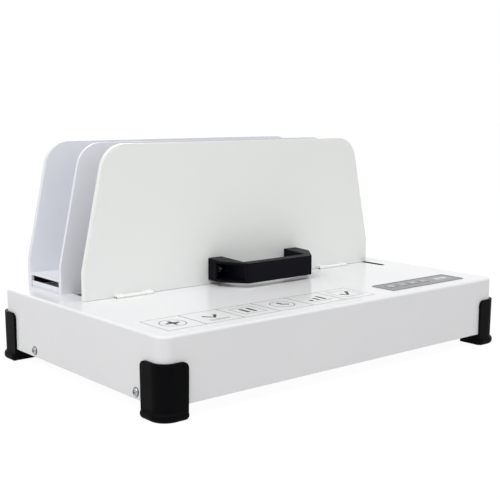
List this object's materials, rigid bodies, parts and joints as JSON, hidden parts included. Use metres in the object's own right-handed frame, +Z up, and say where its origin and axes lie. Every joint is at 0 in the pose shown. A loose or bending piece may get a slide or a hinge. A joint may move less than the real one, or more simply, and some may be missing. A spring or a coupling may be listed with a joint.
{
  "type": "hot melt binding machine",
  "caption": "Desktop hot melt binding machine: a low housing with a heated trough, a hinged clamp plate on a sliding carriage, a fixed jaw, a cooling rack and a control panel.",
  "frame": {"origin": "middle of the footprint, on the table under the feet", "axes": "+X to the operator's right along the machine's length, +Y from the front to the rear, +Z up"},
  "size_m": [0.3788, 0.2458, 0.1855],
  "materials": {
    "white_coat": "white powder coat, slightly glossy",
    "grey_coat": "pale grey satin coat",
    "black_plastic": "black, satin",
    "zinc_steel": "zinc plated",
    "ground_steel": "ground and polished",
    "aluminium": "machined",
    "mica": "mica sheet with a wound strip",
    "fibre_board": "rigid insulating board",
    "ceramic": "steatite",
    "grey_plastic": "grey, fine grain",
    "key_plastic": "pale grey",
    "window": "smoked",
    "dark_plastic": "dark grey",
    "circuit_board": "green coated laminate",
    "brass": "plain",
    "transformer_iron": "varnished laminations",
    "strip_film": "printed film"
  },
  "bodies": {
    "base": {"housing": "white_coat", "base_plate": "zinc_steel", "foot_front_left": "black_plastic", "foot_front_right": "black_plastic", "foot_rear_left": "black_plastic", "foot_rear_right": "black_plastic", "foot_screws": "zinc_steel", "case_screws": "zinc_steel", "rear_jaw": "grey_coat", "back_plate": "grey_coat", "rack_shelf": "grey_coat", "rack_screws": "zinc_steel", "heater_tray": "zinc_steel", "insulation_board": "fibre_board", "heating_element": "mica", "heater_plate": "aluminium", "tray_standoffs": "ceramic", "thermostat": "dark_plastic", "thermal_fuse": "ceramic", "rod_bracket_left": "zinc_steel", "rod_bracket_right": "zinc_steel", "guide_rod_left": "ground_steel", "guide_rod_right": "ground_steel", "slot_liner": "black_plastic", "guide_strip": "strip_film", "control_bezel": "grey_plastic", "display_window": "window", "display_module": "dark_plastic", "control_board": "circuit_board", "key_switches": "dark_plastic", "board_screws": "zinc_steel", "power_board": "circuit_board", "board_spacers": "brass", "transformer": "transformer_iron", "relay": "dark_plastic", "mains_inlet": "black_plastic", "inlet_pins": "brass", "inlet_screws": "zinc_steel", "switch_case": "black_plastic", "fuse_holder": "black_plastic"},
    "carriage": {"carriage": "zinc_steel", "slide_block_left": "dark_plastic", "slide_block_right": "dark_plastic", "bush_left": "brass", "bush_right": "brass", "block_screws": "zinc_steel", "guide_lug": "zinc_steel", "hinge_knuckle_left": "grey_coat", "hinge_knuckle_right": "grey_coat"},
    "clamp": {"clamp_plate": "grey_coat", "hinge_pin_left": "ground_steel", "hinge_pin_right": "ground_steel", "handle": "black_plastic", "handle_screws": "zinc_steel"},
    "key_1": {"key_1": "key_plastic"},
    "key_2": {"key_2": "key_plastic"},
    "key_3": {"key_3": "key_plastic"},
    "key_4": {"key_4": "key_plastic"},
    "rocker": {"rocker": "black_plastic"}
  },
  "joints": [
    {"name": "clamp_slide", "type": "slide", "parent": "base", "child": "carriage", "axis": [0, 1, 0], "range_m": [0, 0.03]},
    {"name": "clamp_tilt", "type": "hinge", "parent": "carriage", "child": "clamp", "pos_m": [0, 0.0168, 0.0607], "axis": [1, 0, 0], "range_deg": [0, 4.5]},
    {"name": "key_1_press", "type": "slide", "parent": "base", "child": "key_1", "axis": [0, 0, -1], "range_m": [0, 0.0006], "stiffness_N_per_m": 800, "springref_m": -0.0006},
    {"name": "key_2_press", "type": "slide", "parent": "base", "child": "key_2", "axis": [0, 0, -1], "range_m": [0, 0.0006], "stiffness_N_per_m": 800, "springref_m": -0.0006},
    {"name": "key_3_press", "type": "slide", "parent": "base", "child": "key_3", "axis": [0, 0, -1], "range_m": [0, 0.0006], "stiffness_N_per_m": 800, "springref_m": -0.0006},
    {"name": "key_4_press", "type": "slide", "parent": "base", "child": "key_4", "axis": [0, 0, -1], "range_m": [0, 0.0006], "stiffness_N_per_m": 800, "springref_m": -0.0006},
    {"name": "rocker_tip", "type": "hinge", "parent": "base", "child": "rocker", "pos_m": [0.078, 0.114, 0.0355], "axis": [1, 0, 0], "range_deg": [0, 12]}
  ]
}
